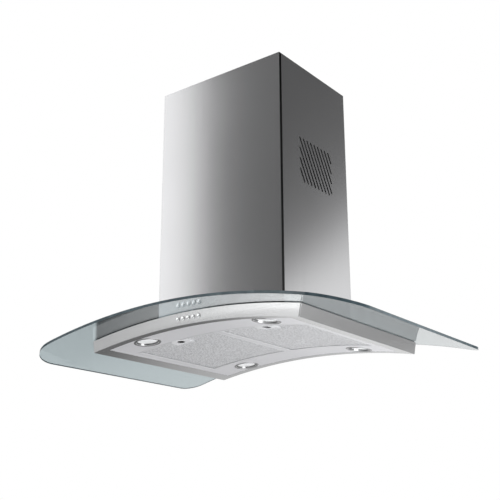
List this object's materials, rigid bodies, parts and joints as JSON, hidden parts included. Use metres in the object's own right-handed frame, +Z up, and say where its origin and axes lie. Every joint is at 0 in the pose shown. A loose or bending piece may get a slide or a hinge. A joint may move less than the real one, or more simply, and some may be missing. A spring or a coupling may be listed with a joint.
{
  "type": "range hood",
  "caption": "Island range hood with an arched glass canopy on a slim steel body, mesh filters, spot lamps, push buttons and a slotted steel flue hung from a ceiling frame.",
  "frame": {"origin": "middle of the ceiling plate's top face", "axes": "+Z up out of the ceiling plate, +X along the glass, -Y towards the front with the buttons"},
  "size_m": [0.9, 0.611, 0.6864],
  "materials": {
    "brushed_steel": "fine linear brushed stainless steel",
    "inner_steel": "brushed stainless steel of the upper sleeve",
    "panel_satin": "satin light grey",
    "canopy_glass": "clear toughened glass with a green-grey tint, polished edges",
    "gasket_rubber": "matt black foam rubber",
    "chrome": "polished chrome",
    "lamp_glass": "frosted glass",
    "filter_aluminium": "expanded aluminium mesh",
    "frame_aluminium": "satin aluminium channel",
    "galvanised": "zinc coated sheet",
    "zinc_screw": "zinc plated screws",
    "white_can": "heat proof white enamel",
    "black_plastic": "moulded black plastic",
    "fan_plastic": "moulded light grey plastic",
    "latch_grey": "moulded light grey plastic",
    "motor_paint": "dark enamel",
    "shaft_steel": "ground steel"
  },
  "bodies": {
    "ceiling_frame": {"ceiling_plate": "galvanised", "upper_flue": "inner_steel", "upper_rail_1": "galvanised", "upper_rail_2": "galvanised", "upper_rail_3": "galvanised", "upper_rail_4": "galvanised"},
    "hood": {"blower_box": "galvanised", "body_shell": "brushed_steel", "body_top_plate": "galvanised", "control_box": "black_plastic", "fan_inlet_ring": "fan_plastic", "fan_motor": "motor_paint", "fan_scroll": "fan_plastic", "flap_pin": "shaft_steel", "flue_front_cover": "brushed_steel", "flue_rear_shell": "brushed_steel", "frame_screws": "zinc_screw", "glass_canopy": "canopy_glass", "glass_fixings": "chrome", "glass_gasket": "gasket_rubber", "lamp_bezel_1": "chrome", "lamp_bezel_2": "chrome", "lamp_bezel_3": "chrome", "lamp_bezel_4": "chrome", "lamp_bulbs": "lamp_glass", "lamp_can_1": "white_can", "lamp_can_2": "white_can", "lamp_can_3": "white_can", "lamp_can_4": "white_can", "lamp_lens_1": "lamp_glass", "lamp_lens_2": "lamp_glass", "lamp_lens_3": "lamp_glass", "lamp_lens_4": "lamp_glass", "lamp_transformer": "black_plastic", "lower_rail_1": "galvanised", "lower_rail_2": "galvanised", "lower_rail_3": "galvanised", "lower_rail_4": "galvanised", "motor_bracket": "galvanised", "motor_capacitor": "white_can", "outlet_collar": "black_plastic", "switch_block": "black_plastic", "underside_panel": "panel_satin"},
    "button_1": {"button_1": "chrome"},
    "button_2": {"button_2": "chrome"},
    "button_3": {"button_3": "chrome"},
    "button_4": {"button_4": "chrome"},
    "button_5": {"button_5": "chrome"},
    "filter_left": {"filter_frame_left": "frame_aluminium", "filter_mesh_left": "filter_aluminium"},
    "latch_left": {"filter_latch_left": "latch_grey"},
    "flap_left": {"flap_left": "black_plastic"},
    "filter_right": {"filter_frame_right": "frame_aluminium", "filter_mesh_right": "filter_aluminium"},
    "latch_right": {"filter_latch_right": "latch_grey"},
    "flap_right": {"flap_right": "black_plastic"},
    "rotor": {"fan_impeller": "galvanised", "fan_wheel_ring": "galvanised", "fan_blades": "galvanised", "fan_shaft": "shaft_steel"}
  },
  "joints": [
    {"name": "height_adjust", "type": "slide", "parent": "ceiling_frame", "child": "hood", "axis": [0, 0, -1], "range_m": [0, 0.2]},
    {"name": "button_1_press", "type": "slide", "parent": "hood", "child": "button_1", "axis": [0, 1, 0], "range_m": [0, 0.0018], "stiffness_N_per_m": 600},
    {"name": "button_2_press", "type": "slide", "parent": "hood", "child": "button_2", "axis": [0, 1, 0], "range_m": [0, 0.0018], "stiffness_N_per_m": 600},
    {"name": "button_3_press", "type": "slide", "parent": "hood", "child": "button_3", "axis": [0, 1, 0], "range_m": [0, 0.0018], "stiffness_N_per_m": 600},
    {"name": "button_4_press", "type": "slide", "parent": "hood", "child": "button_4", "axis": [0, 1, 0], "range_m": [0, 0.0018], "stiffness_N_per_m": 600},
    {"name": "button_5_press", "type": "slide", "parent": "hood", "child": "button_5", "axis": [0, 1, 0], "range_m": [0, 0.0018], "stiffness_N_per_m": 600},
    {"name": "filter_left_swing", "type": "hinge", "parent": "hood", "child": "filter_left", "pos_m": [-0.125, 0.1394, -0.66964], "axis": [1, 0, 0], "range_deg": [0, 85]},
    {"name": "filter_right_swing", "type": "hinge", "parent": "hood", "child": "filter_right", "pos_m": [0.125, 0.1394, -0.66964], "axis": [1, 0, 0], "range_deg": [0, 85]},
    {"name": "latch_left_slide", "type": "slide", "parent": "filter_left", "child": "latch_left", "axis": [0, 1, 0], "range_m": [0, 0.005], "stiffness_N_per_m": 300},
    {"name": "latch_right_slide", "type": "slide", "parent": "filter_right", "child": "latch_right", "axis": [0, 1, 0], "range_m": [0, 0.005], "stiffness_N_per_m": 300},
    {"name": "fan_spin", "type": "hinge", "parent": "hood", "child": "rotor", "pos_m": [-0.062, 0, -0.5], "axis": [0, 1, 0], "continuous": true},
    {"name": "flap_left_lift", "type": "hinge", "parent": "hood", "child": "flap_left", "pos_m": [0, 0, -0.347], "axis": [0, 1, 0], "range_deg": [0, 75]},
    {"name": "flap_right_lift", "type": "hinge", "parent": "hood", "child": "flap_right", "pos_m": [0, 0, -0.347], "axis": [0, -1, 0], "range_deg": [0, 75]}
  ]
}
